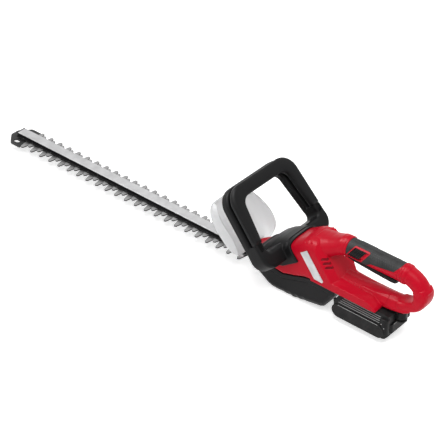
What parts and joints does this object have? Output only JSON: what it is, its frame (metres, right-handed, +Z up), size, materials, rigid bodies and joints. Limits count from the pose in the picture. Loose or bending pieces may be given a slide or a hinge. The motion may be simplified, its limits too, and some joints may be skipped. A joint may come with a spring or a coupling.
{
  "type": "hedge_trimmer",
  "caption": "Cordless hedge trimmer with a double-sided blade, loop front handle, clear hand guard, red body and slide-on battery",
  "frame": {"origin": "bottom centre of the whole tool's box, level with the flat bottom of the lower cover", "axes": "+X runs forward along the blade, +Y to the tool's left side, +Z up"},
  "size_m": [0.95, 0.1648, 0.1915],
  "materials": {
    "blade_steel": "laser-cut and ground steel",
    "bar_steel": "black coated steel bar",
    "rail_metal": "satin light metal strip",
    "fixings": "zinc-plated steel",
    "protector_plastic": "dark grey moulded nylon",
    "gear_steel": "machined steel",
    "case_alloy": "die-cast alloy",
    "motor_steel": "plated steel can",
    "bush_bronze": "bronze and brass",
    "fan_plastic": "moulded nylon",
    "body_red": "satin red ABS",
    "badge_silver": "brushed silver strip, bare",
    "body_black": "fine-textured black nylon",
    "guard_clear": "smoky translucent polycarbonate",
    "grip_rubber": "soft overmould",
    "lock_black": "smooth black plastic",
    "spring_steel": "spring wire",
    "board_green": "circuit board",
    "battery_black": "textured black plastic",
    "battery_gloss": "smooth black inlay",
    "cell_wrap": "shrink-wrapped steel cells"
  },
  "bodies": {
    "root": {"support_bar": "bar_steel", "guide_rail": "rail_metal", "blade_bolts": "fixings", "tip_protector": "protector_plastic", "tip_screws": "fixings", "gear_pin": "fixings", "gear_case_lower": "case_alloy", "gear_case_upper": "case_alloy", "case_screws": "fixings", "motor_can": "motor_steel", "motor_magnets": "motor_steel", "motor_bushes": "bush_bronze", "motor_screws": "fixings", "housing_left": "body_red", "housing_right": "body_red", "shell_screws": "fixings", "badges": "badge_silver", "lower_cover": "body_black", "cover_screws": "fixings", "front_handle": "body_black", "lever_pins": "fixings", "handle_switch": "fan_plastic", "guard": "guard_clear", "guard_screws": "fixings", "grip_left": "grip_rubber", "grip_right": "grip_rubber", "lock_bezels": "lock_black", "trigger_pin": "fixings", "trigger_spring": "spring_steel", "trigger_switch": "fan_plastic", "control_board": "board_green", "battery_foot": "body_black", "terminal_blades": "bush_bronze"},
    "lower_blade": {"lower_blade": "blade_steel"},
    "upper_blade": {"upper_blade": "blade_steel"},
    "drive": {"drive_gear": "gear_steel"},
    "rotor": {"motor_rotor": "motor_steel", "pinion": "gear_steel", "cooling_fan": "fan_plastic"},
    "trigger": {"trigger": "body_black"},
    "slider": {"lock_off_slider": "lock_black"},
    "switch_lever": {"switch_lever": "body_black"},
    "battery": {"battery_base": "battery_black", "battery_lid": "battery_black", "battery_panels": "battery_gloss", "battery_cells": "cell_wrap"},
    "latch": {"battery_latch": "lock_black"}
  },
  "joints": [
    {"name": "lower_blade_slide", "type": "slide", "parent": "root", "child": "lower_blade", "axis": [1, 0, 0], "range_m": [-0.006, 0.006]},
    {"name": "upper_blade_slide", "type": "slide", "parent": "root", "child": "upper_blade", "axis": [1, 0, 0], "range_m": [-0.006, 0.006]},
    {"name": "motor_spin", "type": "hinge", "parent": "root", "child": "rotor", "pos_m": [-0.191, 0, 0.056], "axis": [0, 0, 1], "continuous": true},
    {"name": "gear_spin", "type": "hinge", "parent": "root", "child": "drive", "pos_m": [-0.163, 0, 0.028], "axis": [0, 0, 1], "continuous": true},
    {"name": "trigger_pull", "type": "hinge", "parent": "root", "child": "trigger", "pos_m": [-0.312, 0, 0.122], "axis": [0, 1, 0], "range_deg": [0, 4.5], "stiffness_Nm_per_rad": 1.6, "springref_deg": -6.88, "deforming": ["trigger_spring"]},
    {"name": "lock_off_slide", "type": "slide", "parent": "root", "child": "slider", "axis": [-1, 0, 0], "range_m": [0, 0.005], "stiffness_N_per_m": 150, "springref_m": -0.004},
    {"name": "lever_squeeze", "type": "hinge", "parent": "root", "child": "switch_lever", "pos_m": [-0.1873, 0, 0.1101], "axis": [0, 1, 0], "range_deg": [0, 2.5], "stiffness_Nm_per_rad": 25, "springref_deg": -3.44},
    {"name": "battery_slide", "type": "slide", "parent": "root", "child": "battery", "axis": [-1, 0, 0], "range_m": [0, 0.072]},
    {"name": "latch_press", "type": "slide", "parent": "battery", "child": "latch", "axis": [0, 0, -1], "range_m": [0, 0.0025], "stiffness_N_per_m": 900, "springref_m": -0.002}
  ],
  "couplings": [
    {"joint": "upper_blade_slide", "follows": "lower_blade_slide", "ratio": -1},
    {"joint": "gear_spin", "follows": "motor_spin", "ratio": -0.27273}
  ]
}
